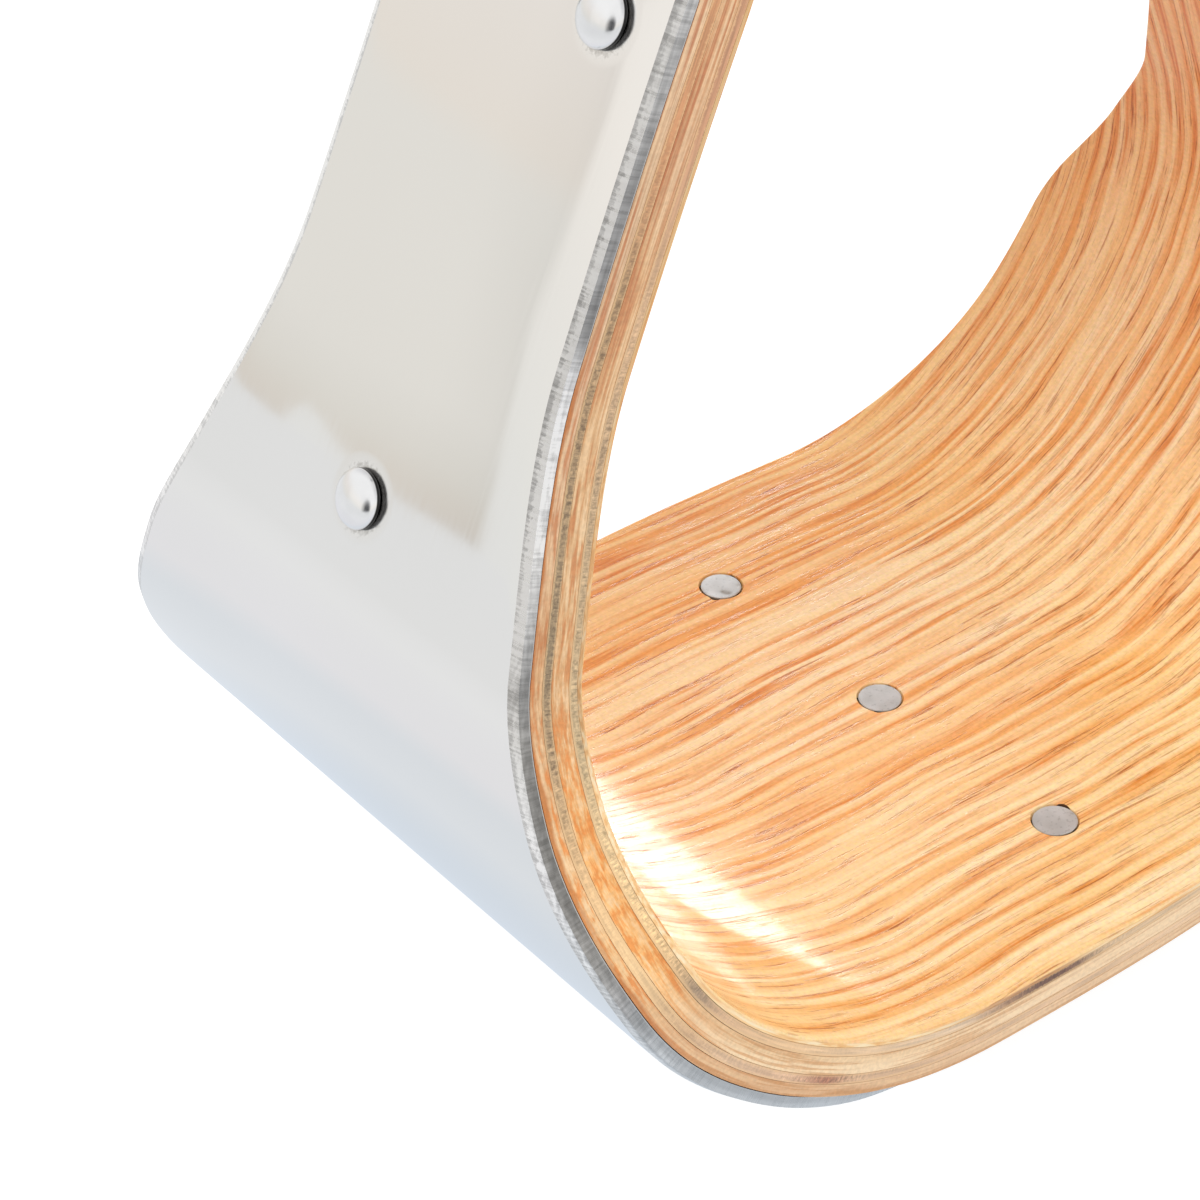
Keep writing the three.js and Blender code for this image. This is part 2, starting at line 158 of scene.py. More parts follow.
def studio_world():
    world = bpy.data.worlds.new("studio")
    world.use_nodes = True
    tree = world.node_tree
    tree.nodes.clear()
    way = node(tree, "ShaderNodeTexCoord").outputs["Generated"]
    height = node(tree, "ShaderNodeSeparateXYZ", {0: way}).outputs["Z"]

    def towards(goal):
        return vector_of(tree, "DOT_PRODUCT", way, goal)["Value"]

    wall = ramp(tree, within(tree, height, -0.04, 0.12), [
        (0.01, (0.72, 0.685, 0.645)), (0.045, (0.762, 0.716, 0.657)), (0.08, (0.783, 0.75, 0.695)),
        (0.115, (0.808, 0.788, 0.74)), (0.18, (0.84, 0.824, 0.784)), (0.22, (0.858, 0.842, 0.802)),
        (0.66, (0.858, 0.842, 0.802)), (0.74, (0.884, 0.835, 0.775)), (1.0, (0.9, 0.86, 0.82))])
    across = towards(direction(41.54, -17.3))
    wall = multiplied(tree, wall, ramp(tree, across, [(0.0, 0.885), (0.008, 0.945), (0.03, 1.0)]))
    tent = ramp(tree, within(tree, height, -0.04, 0.36), [
        (0.0, (0.86, 0.87, 0.87)), (0.1, (0.88, 0.88, 0.855)), (0.35, (0.98, 0.945, 0.90)),
        (1.0, (1, 1, 1))])
    foot = ramp(tree, across, [
        (0.0, 0.003), (0.02, 0.0015), (0.049, 0.008), (0.0575, 0.012), (0.068, 0.014),
        (0.0745, 0.001), (0.09, 0.004)])
    above = math_of(tree, "SUBTRACT", math_of(tree, "ADD", height, 0.04), foot)
    above = within(tree, above, -0.0006, 0.0006)
    wall = mixed(tree, within(tree, height, 0.15, 0.36), wall, (1, 1, 1))
    on_wall = math_of(tree, "MULTIPLY", above, within(tree, across, -0.0012, 0.0012))
    shown = mixed(tree, on_wall, tent, wall)
    ceiling = ramp(tree, height, [
        (0.25, (1, 1, 1)), (0.45, (0.8, 0.8, 0.81)), (0.8, (0.72, 0.72, 0.73)),
        (1.0, (0.85, 0.85, 0.85))])
    shown = multiplied(tree, shown, ceiling, within(tree, towards((1, 0, 0)), -0.3, 0.2))
    doorway = within(tree, towards(direction(-106, 7)), 0.92, 0.985)
    shown = mixed(tree, doorway, shown, (0.07, 0.07, 0.075))
    lit = node(tree, "ShaderNodeBackground", {
        "Color": (1, 1, 1, 1), "Strength": within(tree, height, 0, 1, 0.9, 1.26)})
    mirrored = node(tree, "ShaderNodeBackground", {"Color": shown})
    white = node(tree, "ShaderNodeBackground", {"Color": (1, 1, 1, 1), "Strength": 1})
    node(tree, "ShaderNodeOutputWorld", {"Surface": by_ray(tree, lit, mirrored, white)})
    bpy.context.scene.world = world


def wide_lamp(name, towards, distance, wide, high, watts):
    data = bpy.data.lights.new(name, "AREA")
    data.shape = "RECTANGLE"
    data.size = wide
    data.size_y = high
    data.energy = watts
    lamp = bpy.data.objects.new(name, data)
    lamp.location = towards * distance
    lamp.rotation_euler = towards.to_track_quat("Z", "Y").to_euler()
    bpy.context.scene.collection.objects.link(lamp)


studio_world()
window = direction(56, 8)
wide_lamp("window_lamp", window, distance=0.8, wide=0.68, high=0.3, watts=3.4)
wide_lamp("window_glow", window, distance=0.9, wide=1.0, high=0.5, watts=1.5)


# Steel binding: one strip of polished sheet along the whole outside of the bow. Its blank is
# cut, its edges are ground and rolled over by the polishing wheel, and it is drilled for the
# rivets and the bolt and bent round the form, whose line its face follows.
CORNER = (44.1, 72)
SHOULDER = (31.3, 41.9)
NECK_BEND = (50, CORNER[1] + SHOULDER[1] - 90)
TREAD_FLAT, LEG, NECK = 20.3, 50.2, 37.99
FORM = [(TREAD_FLAT, 0)]
for radius, turn in (CORNER, SHOULDER):
    FORM.append((radius * math.radians(turn), 1 / radius))
FORM += [(LEG, 0), (NECK_BEND[0] * math.radians(NECK_BEND[1]), -1 / NECK_BEND[0]), (NECK, 0)]
PLACES = [sum(length for length, _ in FORM[:i]) for i in range(len(FORM) + 1)]
HALF = PLACES[-1]
HEAD_HEIGHT = 1.45


def form_place(at):
    x = z = heading = 0.0
    left = abs(at)
    for length, curve in FORM:
        step = min(left, length)
        turned_to = heading + step * curve
        if curve:
            x += (math.sin(turned_to) - math.sin(heading)) / curve
            z += (math.cos(heading) - math.cos(turned_to)) / curve
        else:
            x += step * math.cos(heading)
            z += step * math.sin(heading)
        heading = turned_to
        left -= step
    return math.copysign(x, at), HEAD_HEIGHT + z, math.copysign(heading, at)


def line_through(name, points, closed=False):
    curve = bpy.data.curves.new(name, "CURVE")
    curve.dimensions = "3D"
    spline = curve.splines.new("POLY")
    spline.points.add(len(points) - 1)
    for point, (x, y, z) in zip(spline.points, points):
        point.co = (x * MM, y * MM, z * MM, 1)
    spline.use_cyclic_u = closed
    line = bpy.data.objects.new(name, curve)
    bpy.context.scene.collection.objects.link(line)
    return line


BEND_STEPS = 1600
bend_line = line_through("bend_line", [
    (*form_place(-HALF + 2 * HALF * i / BEND_STEPS)[:2], 0) for i in range(BEND_STEPS + 1)
])
bend_line.data.dimensions = "2D"


def only(piece):
    bpy.ops.object.select_all(action="DESELECT")
    piece.select_set(True)
    bpy.context.view_layer.objects.active = piece


def apply_all(piece):
    only(piece)
    for modifier in list(piece.modifiers):
        bpy.ops.object.modifier_apply(modifier=modifier.name)


def bend_round_form(piece):
    places = np.empty(len(piece.data.vertices) * 3, np.float32)
    piece.data.vertices.foreach_get("co", places)
    piece.data.attributes.new("flat", "FLOAT_VECTOR", "POINT").data.foreach_set("vector", places)
    only(piece)
    piece.location.x = HALF * MM
    piece.rotation_euler.x = math.radians(-90)
    bpy.ops.object.transform_apply(location=True, rotation=True)
    piece.modifiers.new("bend", "CURVE").object = bend_line
    apply_all(piece)
    piece.rotation_euler.x = math.radians(90)
    bpy.ops.object.transform_apply(rotation=True)


WIDTHS = [
    (0, 76.2),
    (PLACES[1] + 0.19 * FORM[1][0], 73.9),
    (PLACES[1] + 0.62 * FORM[1][0], 70.3),
    (PLACES[1] + 0.89 * FORM[1][0], 68.7),
    (PLACES[2] + 0.5 * FORM[2][0], 54.1),
    (PLACES[3], 43.9),
    (PLACES[3] + 0.45 * LEG, 33),
    (PLACES[4], 31.8),
    (HALF, 31.8),
]
END_CORNER = 9
SETBACK, SETBACK_FLAT, SETBACK_FADE = 2.4, 13, 35
NEAR = 1e-6


def width_slope(i):
    if i in (0, len(WIDTHS) - 1):
        return 0
    (a, wa), (b, wb), (c, wc) = WIDTHS[i - 1:i + 2]
    before, after = (wb - wa) / (b - a), (wc - wb) / (c - b)
    return 0 if before * after <= 0 else 2 * before * after / (before + after)


def half_width(at):
    at = min(abs(at), HALF)
    i = max(0, next(k for k, (place, _) in enumerate(WIDTHS) if place >= at - 1e-9) - 1)
    (a, wa), (b, wb) = WIDTHS[i], WIDTHS[i + 1]
    t = (at - a) / (b - a)
    width = wa + (wb - wa) * t * t * (3 - 2 * t)
    width += (b - a) * (t * (1 - t) ** 2 * width_slope(i) + t * t * (t - 1) * width_slope(i + 1))
    past = max(0, at - (HALF - END_CORNER))
    return width / 2 - (END_CORNER - math.sqrt(max(0, END_CORNER ** 2 - past ** 2)))


def steel_half_width(at):
    t = min(max((abs(at) - SETBACK_FLAT) / SETBACK_FADE, 0), 1)
    by_hand = 0.12 * math.sin(at / 4.1 + 0.6) + 0.09 * math.sin(at / 1.9)
    return half_width(at) - (SETBACK + by_hand) * (1 - t * t * (3 - 2 * t))


def select_where(piece, kind, chosen):
    kinds = ("verts", "edges", "faces")
    bpy.context.tool_settings.mesh_select_mode = [kind == each for each in kinds]
    mesh = bmesh.from_edit_mesh(piece.data)
    for part in [*mesh.verts, *mesh.edges, *mesh.faces]:
        part.select = False
    for part in getattr(mesh, kind):
        if chosen(part):
            part.select_set(True)
    bmesh.update_edit_mesh(piece.data)


def filled(outline):
    only(outline)
    bpy.ops.object.convert(target="MESH")
    bpy.ops.object.mode_set(mode="EDIT")
    bpy.ops.mesh.select_all(action="SELECT")
    bpy.ops.mesh.edge_face_add()
    bpy.ops.mesh.select_all(action="SELECT")
    return bpy.context.object


def faces_out():
    bpy.ops.mesh.select_all(action="SELECT")
    bpy.ops.mesh.normals_make_consistent(inside=False)


def pulled_up(height):
    bpy.ops.mesh.extrude_region_move(TRANSFORM_OT_translate={"value": (0, 0, height * MM)})
    faces_out()


def strip_blank(name, half_width_at, back, front):
    straight, steps, corner_steps = HALF - END_CORNER, 142, 15
    right = [straight * i / steps for i in range(steps + 1)]
    for i in range(1, corner_steps + 1):
        right.append(straight + END_CORNER * math.sin(math.radians(90 / corner_steps * i)))
    places = [-at for at in reversed(right[1:])] + right
    outline = [(at, half_width_at(at), back) for at in places]
    outline += [(at, -half_width_at(at), back) for at in reversed(places)]
    blank = filled(line_through(name, outline, closed=True))
    pulled_up(front - back)
    return blank


def select_face_at(blank, height):
    select_where(blank, "faces", lambda face: len(face.verts) > 4
                 and abs(face.calc_center_median().z - height * MM) < NEAR)


def lay_cross_faces(blank, rows):
    mesh = bmesh.from_edit_mesh(blank.data)
    heights = [face.calc_center_median().z for face in mesh.faces if len(face.verts) > 4]
    select_where(blank, "faces", lambda face: len(face.verts) > 4)
    bpy.ops.mesh.delete(type="ONLY_FACE")
    for height in heights:
        select_where(blank, "edges", lambda edge: len(edge.link_faces) == 1
                     and all(abs(end.co.z - height) < NEAR for end in edge.verts)
                     and edge.verts[0].co.y * edge.verts[1].co.y > 0)
        bpy.ops.mesh.bridge_edge_loops(number_cuts=rows, interpolation="LINEAR")
    faces_out()
    bpy.ops.object.mode_set(mode="OBJECT")


RIVET_HEAD = 2.5
LEG_RIVET_MARGIN, NECK_RIVET_MARGIN, NECK_RIVET_INSET = 1.8, 0.1, 7
LEG_RIVET = PLACES[3] + LEG_RIVET_MARGIN + RIVET_HEAD
NECK_RIVET = PLACES[4] - NECK_RIVET_MARGIN - RIVET_HEAD
NECK_RIVET_Y = half_width(NECK_RIVET) - NECK_RIVET_INSET
TREAD_RIVET_Y = 23.7
RIVETS = {f"tread_rivet_{row}": (0, sign * TREAD_RIVET_Y)
          for row, sign in (("front", -1), ("middle", 0), ("back", 1))}
for side, sign in (("left", -1), ("right", 1)):
    RIVETS[f"leg_rivet_{side}"] = (sign * LEG_RIVET, 0)
    RIVETS[f"neck_rivet_{side}_front"] = (sign * NECK_RIVET, -NECK_RIVET_Y)
    RIVETS[f"neck_rivet_{side}_back"] = (sign * NECK_RIVET, NECK_RIVET_Y)
STEEL = 1.5
STACK = 7.09
BOLT_UP_NECK = 22
BOLT_PLACE = PLACES[5] + BOLT_UP_NECK
RIVET_HOLE, TAIL_HOLE, TAIL_DEPTH, BOLT_HOLE = 1.72, 2.32, 1.1, 5


def turned(name, profile, sides):
    only(line_through(name, [(radius, 0, height) for radius, height in profile]))
    bpy.ops.object.convert(target="MESH")
    bpy.ops.object.mode_set(mode="EDIT")
    bpy.ops.mesh.select_all(action="SELECT")
    bpy.ops.mesh.spin(steps=sides, angle=math.tau, center=(0, 0, 0), axis=(0, 0, 1))
    bpy.ops.mesh.select_all(action="SELECT")
    bpy.ops.mesh.remove_doubles(threshold=NEAR)
    bpy.ops.mesh.normals_make_consistent(inside=False)
    bpy.ops.object.mode_set(mode="OBJECT")
    return bpy.context.object


def copy_at(piece, name, x, y):
    copied = piece.copy()
    copied.data = piece.data.copy()
    copied.name = name
    bpy.context.scene.collection.objects.link(copied)
    copied.location = (x * MM, y * MM, 0)
    only(copied)
    bpy.ops.object.transform_apply(location=True)
    return copied


def joined(pieces):
    bpy.ops.object.select_all(action="DESELECT")
    for piece in pieces:
        piece.select_set(True)
    bpy.context.view_layer.objects.active = pieces[0]
    bpy.ops.object.join()
    return pieces[0]


def hole_cutter():
    start, end = -1, STACK + 1
    rivet_hole = turned("rivet_hole", [
        (0, start), (RIVET_HOLE, start), (RIVET_HOLE, STACK - TAIL_DEPTH), (TAIL_HOLE, STACK),
        (TAIL_HOLE, end), (0, end)], 40)
    bolt_hole = turned("bolt_hole", [
        (0, start), (BOLT_HOLE, start), (BOLT_HOLE, end), (0, end)], 48)
    cutters = [copy_at(rivet_hole, "hole", *place) for place in RIVETS.values()]
    cutters += [copy_at(bolt_hole, "hole", sign * BOLT_PLACE, 0) for sign in (-1, 1)]
    for pattern in (rivet_hole, bolt_hole):
        bpy.data.objects.remove(pattern)
    return joined(cutters)


def cut(piece, cutter, operation="DIFFERENCE"):
    modifier = piece.modifiers.new("cut", "BOOLEAN")
    modifier.object = cutter
    modifier.operation = operation
    modifier.solver = "EXACT"
    apply_all(piece)


def smooth(piece, degrees):
    only(piece)
    bpy.ops.object.shade_smooth_by_angle(angle=math.radians(degrees))
    modifier = piece.modifiers.new("even_shading", "WEIGHTED_NORMAL")
    modifier.keep_sharp = True
    apply_all(piece)


def node_group(name, inputs, outputs):
    tree = bpy.data.node_groups.new(name, "ShaderNodeTree")
    for kind, sockets in (("INPUT", inputs), ("OUTPUT", outputs)):
        for socket, sort in sockets.items():
            tree.interface.new_socket(socket, in_out=kind, socket_type=f"NodeSocket{sort}")
    return tree, node(tree, "NodeGroupInput").outputs, node(tree, "NodeGroupOutput").inputs


def noise(tree, place, scale, detail):
    return node(tree, "ShaderNodeTexNoise", {
        "Vector": place, "Scale": scale, "Detail": detail}).outputs


# Marks that a polishing wheel or a grinder leaves: broad waves, and fine lines one way
def tool_marks():
    tree, given, out = node_group("tool_marks", {
        "Place": "Vector", "Stretch": "Vector", "Wave size": "Float", "Wave depth": "Float",
        "Line depth": "Float"}, {"Lines": "Float", "Waves": "Float", "Normal": "Vector"})
    waves = noise(tree, given["Place"], given["Wave size"], 1.5)["Fac"]
    along = vector_of(tree, "MULTIPLY", given["Place"], given["Stretch"])[0]
    lines = noise(tree, along, 1, 3)["Fac"]
    wavy = node(tree, "ShaderNodeBump", {"Height": waves, "Distance": given["Wave depth"]})
    lined = node(tree, "ShaderNodeBump", {
        "Height": lines, "Distance": given["Line depth"], "Normal": wavy.outputs[0]})
    tree.links.new(lines, out["Lines"])
    tree.links.new(waves, out["Waves"])
    tree.links.new(lined.outputs[0], out["Normal"])
    return tree


TOOL_MARKS = tool_marks()


def group_node(tree, group, feeds):
    return node(tree, "ShaderNodeGroup", feeds, node_tree=group).outputs


def marks_on(tree, place, stretch, wave_size, wave_depth, line_depth):
    return group_node(tree, TOOL_MARKS, {
        "Place": place, "Stretch": stretch, "Wave size": wave_size,
        "Wave depth": wave_depth * MM, "Line depth": line_depth * MM})


def metal_finish(tree, colour, roughness, normal):
    shader = node(tree, "ShaderNodeBsdfPrincipled", {
        "Base Color": colour, "Metallic": 1.0, "Roughness": roughness, "Normal": normal})
    node(tree, "ShaderNodeOutputMaterial", {"Surface": shader.outputs[0]})


# Every bent piece keeps its flat shape as the attribute flat: x runs along the strip, y across
# it and z in from the steel's face
def flat_place(tree):
    flat = node(tree, "ShaderNodeAttribute", attribute_name="flat").outputs["Vector"]
    return flat, node(tree, "ShaderNodeSeparateXYZ", {0: flat}).outputs


# Stops by length run from the left leg's end to the right leg's end
RAMP_HALF = 210


def by_length(tree, along, stops):
    return ramp(tree, within(tree, along, -RAMP_HALF * MM, RAMP_HALF * MM), stops)


def specks_on(tree, flat):
    return noise(tree, flat, 2600, 2)


def polished_steel():
    material, tree = material_tree("polished_steel")
    flat, _ = flat_place(tree)
    marks = marks_on(tree, flat, (90, 2600, 2600), 30, 0.08, 0.00004)
    roughness = ramp(tree, marks["Lines"], [(0.35, 0.03), (0.75, 0.05)])
    colour = ramp(tree, marks["Waves"], [(0.3, (0.85, 0.84, 0.82)), (0.7, (0.87, 0.86, 0.845))])
    alike = vector_of(tree, "ABSOLUTE", flat)[0]
    nearest = 1.0
    for x, y in {(abs(x), abs(y)) for x, y in RIVETS.values()}:
        away = vector_of(tree, "DISTANCE", alike, (x * MM, y * MM, 0))["Value"]
        nearest = math_of(tree, "MINIMUM", away, nearest)
    # Painted shade: a dark ring on the steel round each rivet head, for its shadow and dark
    # reflection
    ragged = within(tree, specks_on(tree, flat)["Fac"], 0.3, 0.7, -0.35 * MM, 0.35 * MM)
    painted_shade_ring = math_of(tree, "ADD", nearest, ragged)
    painted_shade_ring = within(tree, painted_shade_ring, 3.0 * MM, 2.45 * MM, 0.0, 0.4)
    colour = mixed(tree, painted_shade_ring, colour, (0.24, 0.22, 0.19))
    worn = within(tree, nearest, 3.9 * MM, 2.9 * MM, 0.03, 0.2)
    metal_finish(tree, colour, math_of(tree, "MAXIMUM", roughness, worn), marks["Normal"])
    return material


CALM = [(0.32, 0.0), (0.37, 0.7), (0.63, 0.7), (0.68, 0.0)]
SCRATCHED = [
    (0.0, 0.5), (0.15, 0.85), (0.24, 0.85), (0.26, 0.35), (0.28, 0.8), (0.33, 0.8), (0.345, 0.0),
    (0.655, 0.0), (0.67, 0.8), (0.73, 0.4), (0.76, 0.85), (1.0, 0.6)]


# The ground edges' brightness is painted light: it rises and falls along the bow with reflections
def ground_edge(name, painted_brightness, foot_depth, foot):
    material, tree = material_tree(name)
    flat, (along, across, depth) = flat_place(tree)
    marks = marks_on(tree, flat, (3800, 160, 240), 260, 0.0, 0.002)
    drawn = noise(tree, vector_of(tree, "MULTIPLY", flat, (170, 2400, 2400))[0], 1, 3)["Fac"]
    even = ground = by_length(tree, along, painted_brightness)
    for value, low, high in (
        (marks["Waves"], 0.92, 1.18), (marks["Lines"], 0.8, 1.2), (drawn, 0.86, 1.22)):
        ground = math_of(tree, "MULTIPLY", ground, within(tree, value, 0.34, 0.66, low, high))
    ground = mixed(tree, by_length(tree, along, CALM), ground, even)
    ragged = within(tree, specks_on(tree, flat)["Fac"], 0.3, 0.7, -0.08 * MM, 0.08 * MM)
    reached = math_of(tree, "ADD", depth, ragged)
    scratched = within(tree, reached, 0.25 * MM, 0.16 * MM)
    scratched = math_of(tree, "MULTIPLY", scratched, by_length(tree, along, SCRATCHED))
    gaps = within(tree, marks["Lines"], 0.38, 0.6, 1.0, 0.65)
    ground = mixed(tree, math_of(tree, "MULTIPLY", scratched, gaps), ground, (0.48, 0.48, 0.48))
    # Painted light and shade at the foot of the edge, lighter or darker by place along the bow
    at_foot = within(tree, reached, foot_depth * MM, (foot_depth + 0.3) * MM)
    worn = math_of(tree, "MULTIPLY", ground, by_length(tree, along, foot))
    ground = mixed(tree, at_foot, ground, worn)
    # Painted highlight: a thin bright line along the steel's back edge, next to the wood
    painted_edge_highlight = within(tree, depth, 1.40 * MM, 1.44 * MM, 0.0, 0.6)
    back_edge = within(tree, across, 0.0, 0.002, 0.0, 0.66)
    ground = math_of(tree, "MAXIMUM", math_of(tree, "MAXIMUM", ground, painted_edge_highlight), back_edge)
    colour = mixed(tree, ground, (0.03, 0.029, 0.027), (0.97, 0.955, 0.93))
    roughness = ramp(tree, marks["Lines"], [(0.3, 0.22), (0.7, 0.38)])
    metal_finish(tree, colour, roughness, marks["Normal"])
    return material


# Painted light along the ground chamfer and the sheared side, and at their foot, along the bow
CHAMFER_PAINTED_LIGHT = [
    (0.0, 0.75), (0.148, 0.8), (0.17, 1.0), (0.25, 1.0), (0.27, 0.95), (0.3, 1.0), (0.33, 0.8),
    (0.365, 0.7), (0.635, 0.7), (0.72, 1.0), (1.0, 0.75)]
CHAMFER_FOOT_PAINTED_LIGHT = [
    (0.0, 0.9), (0.16, 0.95), (0.18, 1.2), (0.25, 1.15), (0.262, 0.75), (0.285, 0.6),
    (0.31, 0.45), (0.36, 0.4), (0.64, 0.4), (0.69, 0.45), (0.76, 1.0), (1.0, 0.9)]
SIDE_PAINTED_LIGHT = [
    (0.0, 0.5), (0.148, 0.55), (0.162, 0.42), (0.176, 0.33), (0.204, 0.28), (0.216, 0.95),
    (0.236, 1.0), (0.25, 0.72), (0.262, 0.38), (0.29, 0.24), (0.305, 0.25), (0.322, 0.38),
    (0.348, 0.6), (0.4, 0.7), (0.6, 0.7), (0.68, 0.3), (0.75, 0.9), (0.78, 0.95), (0.81, 0.3),
    (1.0, 0.5)]
SIDE_FOOT_PAINTED_SHADE = [(0.0, 0.85), (1.0, 0.85)]
CHAMFER_WIDTH, CHAMFER_DROP, ROLL_WIDTH, ROLL_DROP = 0.9, 0.35, 1.3, 0.02
SIDE_DEPTH = 0.42
holes = hole_cutter()
binding = strip_blank("binding", steel_half_width, STEEL, SIDE_DEPTH)
select_face_at(binding, SIDE_DEPTH)
bpy.ops.mesh.inset(thickness=CHAMFER_WIDTH * MM, depth=CHAMFER_DROP * MM)
bpy.ops.mesh.inset(thickness=ROLL_WIDTH * MM, depth=ROLL_DROP * MM)
lay_cross_faces(binding, 6)
cut(binding, holes)
for finish in (
    polished_steel(),
    ground_edge("ground_chamfer", CHAMFER_PAINTED_LIGHT, 0.2, CHAMFER_FOOT_PAINTED_LIGHT),
    ground_edge("sheared_edge", SIDE_PAINTED_LIGHT, 0.7, SIDE_FOOT_PAINTED_SHADE),
):
    binding.data.materials.append(finish)
for face in binding.data.polygons:
    if abs(face.normal.z) < 0.2:
        face.material_index = 2
    elif abs(face.normal.z) < 0.99 and face.center.z < SIDE_DEPTH * MM:
        face.material_index = 1
bend_round_form(binding)
smooth(binding, 12)
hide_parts("steel_binding")
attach(binding, "bow")


# The bent oak: five veneers glued together, cut and drilled with the steel, with the edges
# sanded flush and varnished. Three run along the bow and two across it, and where they were
# steamed and bent they have taken different colours. The face veneer also has painted light
# and shade: lighter and yellower to the front, browner to the back and changing along the bow.
def srgb(red, green, blue):
    return tuple(((c / 255 + 0.055) / 1.055) ** 2.4 for c in (red, green, blue))


def oak_grain():
    tree, given, out = node_group(
        "oak_grain", {"Flat": "Vector", "Stretch": "Vector", "Seed": "Float"},
        {"Streaks": "Float", "Broad": "Float"})
    moved = vector_of(tree, "ADD", given["Flat"], given["Seed"])[0]
    along = vector_of(tree, "MULTIPLY", moved, given["Stretch"])[0]
    streaks = node(tree, "ShaderNodeTexNoise", {
        "Vector": along, "Scale": 1.0, "Detail": 3.5, "Roughness": 0.62})
    tree.links.new(streaks.outputs["Fac"], out["Streaks"])
    tree.links.new(noise(tree, along, 0.13, 2)["Fac"], out["Broad"])
    return tree


OAK_GRAIN = oak_grain()


def grain_on(tree, flat, stretch, seed):
    return group_node(tree, OAK_GRAIN, {"Flat": flat, "Stretch": stretch, "Seed": seed})


def varnish(tree, colour, roughness, height, depth):
    normal = node(tree, "ShaderNodeBump", {"Height": height, "Distance": depth * MM}).outputs[0]
    shader = node(tree, "ShaderNodeBsdfPrincipled", {
        "Base Color": colour, "Roughness": roughness, "Normal": normal, "IOR": 1.5})
    node(tree, "ShaderNodeOutputMaterial", {"Surface": shader.outputs[0]})


# A ply's colours are given at lengths in millimetres from the middle of the tread
def at_lengths(*stops):
    return [((at + RAMP_HALF) / (2 * RAMP_HALF), srgb(*colour)) for at, colour in stops]


def long_ply(name, colours, streaks, beside_steel, seed):
    material, tree = material_tree(name)
    flat, (along, _, depth) = flat_place(tree)
    grain = grain_on(tree, flat, (45, 1000, 2600), seed)
    pale = within(tree, grain["Streaks"], 0.50, 0.62, 0.0, 0.5)
    colour = mixed(tree, pale, by_length(tree, along, colours), srgb(255, 226, 184))
    warm = within(tree, grain["Streaks"], 0.50, 0.40, 0.0, 0.75)
    colour = mixed(tree, warm, colour, by_length(tree, along, streaks))
    wander = within(tree, noise(tree, flat, 120, 2)["Fac"], 0.3, 0.7, -0.25 * MM, 0.25 * MM)
    share = within(tree, math_of(tree, "ADD", depth, wander), 2.0 * MM, 1.72 * MM)
    share = math_of(tree, "MULTIPLY", share, by_length(tree, along, beside_steel))
    colour = mixed(tree, share, colour, srgb(198, 124, 62))
    tint = ramp(tree, grain["Broad"], [(0.36, (0.90, 0.82, 0.72)), (0.6, (1.03, 1.04, 1.06))])
    sanded = within(tree, specks_on(tree, flat)["Fac"], 0.34, 0.66, 0.92, 1.06)
    colour = multiplied(tree, multiplied(tree, colour, tint), sanded)
    roughness = ramp(tree, grain["Streaks"], [(0.3, 0.42), (0.7, 0.3)])
    varnish(tree, colour, roughness, grain["Streaks"], 0.02)
    return material


def cross_ply(name, colours, clear, seed, start, thickness):
    material, tree = material_tree(name)
    flat, (along, _, depth) = flat_place(tree)
    ends = grain_on(tree, flat, (3000, 120, 2600), seed)
    hairs = grain_on(tree, flat, (4600, 120, 500), seed * 2)
    drawn = grain_on(tree, flat, (150, 120, 3200), seed * 3)
    base = by_length(tree, along, colours)
    spots = ramp(tree, ends["Streaks"], [
        (0.33, (0.60, 0.57, 0.52)), (0.48, (0.97, 0.97, 0.97)), (0.64, (1.35, 1.35, 1.31))])
    lines = within(tree, hairs["Streaks"], 0.35, 0.62, 0.68, 1.26)
    dotted = multiplied(tree, multiplied(tree, base, spots), lines)
    glued = multiplied(tree, base, within(tree, drawn["Streaks"], 0.36, 0.62, 0.80, 1.16))
    inside = within(tree, depth, start * MM, (start + thickness) * MM)
    for value, low, off in ((hairs["Streaks"], 0.3, 0.12), (drawn["Broad"], 0.35, 0.10)):
        inside = math_of(tree, "ADD", inside, within(tree, value, low, 1 - low, -off, off))
    middle = ramp(tree, inside, [(0.08, 0.0), (0.26, 1.0), (0.74, 1.0), (0.94, 0.0)])
    share = math_of(tree, "MULTIPLY", middle, by_length(tree, along, clear))
    seam = multiplied(tree, mixed(tree, 0.5, base, srgb(238, 198, 148)), (1.02, 1.02, 1.0))
    colour = mixed(tree, share, mixed(tree, middle, seam, glued), dotted)
    varnish(tree, colour, 0.42, ends["Streaks"], 0.02)
    return material


